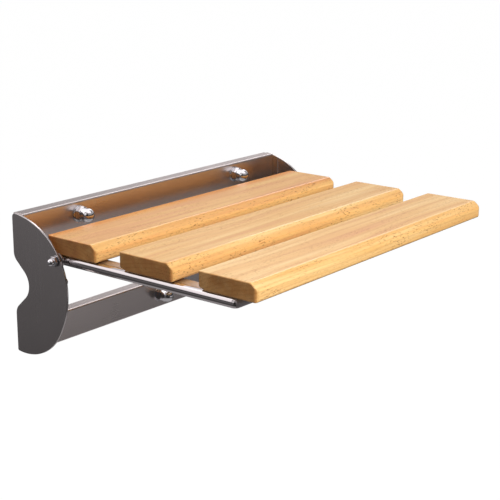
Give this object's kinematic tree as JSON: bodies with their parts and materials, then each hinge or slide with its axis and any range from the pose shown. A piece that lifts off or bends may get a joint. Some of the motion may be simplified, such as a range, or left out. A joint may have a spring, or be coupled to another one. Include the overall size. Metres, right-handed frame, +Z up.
{
  "type": "fold down wall seat",
  "caption": "Wall-hung folding seat: bevelled wooden slats on a round-bar frame that turns up between shaped steel side plates.",
  "frame": {"origin": "middle of the bracket's top edge, on the wall plane", "axes": "+X along the slats to the right as seen by someone facing the wall, +Y into the wall, +Z up; the seat stands out towards -Y"},
  "size_m": [0.4836, 0.361, 0.164],
  "materials": {
    "slat_wood": "clear satin varnish over fine straight grain",
    "bracket_steel": "fine satin brushing",
    "bar_steel": "polished round bar",
    "fixing_chrome": "bright plated",
    "plain_steel": "plain rolled stainless",
    "zinc_steel": "zinc plated",
    "bearing_plastic": "moulded nylon"
  },
  "bodies": {
    "bracket": {"bottom_domed_nut": "fixing_chrome", "bottom_rail": "bracket_steel", "bottom_wall_stud": "zinc_steel", "bottom_wall_washer": "fixing_chrome", "left_domed_nut": "fixing_chrome", "left_fold_stop": "plain_steel", "left_pivot_bush": "bearing_plastic", "left_rest_stop": "plain_steel", "left_side_plate": "bracket_steel", "left_thrust_ring": "bearing_plastic", "left_wall_stud": "zinc_steel", "left_wall_washer": "fixing_chrome", "right_domed_nut": "fixing_chrome", "right_fold_stop": "plain_steel", "right_pivot_bush": "bearing_plastic", "right_rest_stop": "plain_steel", "right_side_plate": "bracket_steel", "right_thrust_ring": "bearing_plastic", "right_wall_stud": "zinc_steel", "right_wall_washer": "fixing_chrome", "top_rail": "bracket_steel"},
    "seat": {"front_cross_bar": "bar_steel", "front_slat": "slat_wood", "front_slat_screws": "zinc_steel", "left_arm": "bar_steel", "left_pivot_nut": "zinc_steel", "left_pivot_screw": "fixing_chrome", "left_slat_strip": "plain_steel", "left_stop_cam": "plain_steel", "middle_slat": "slat_wood", "middle_slat_screws": "zinc_steel", "rear_slat": "slat_wood", "rear_slat_screws": "zinc_steel", "right_arm": "bar_steel", "right_pivot_nut": "zinc_steel", "right_pivot_screw": "fixing_chrome", "right_slat_strip": "plain_steel", "right_stop_cam": "plain_steel"}
  },
  "joints": [
    {"name": "seat_fold", "type": "hinge", "parent": "bracket", "child": "seat", "pos_m": [0, -0.0673, -0.0445], "axis": [-1, 0, 0], "range_deg": [0, 90]}
  ]
}
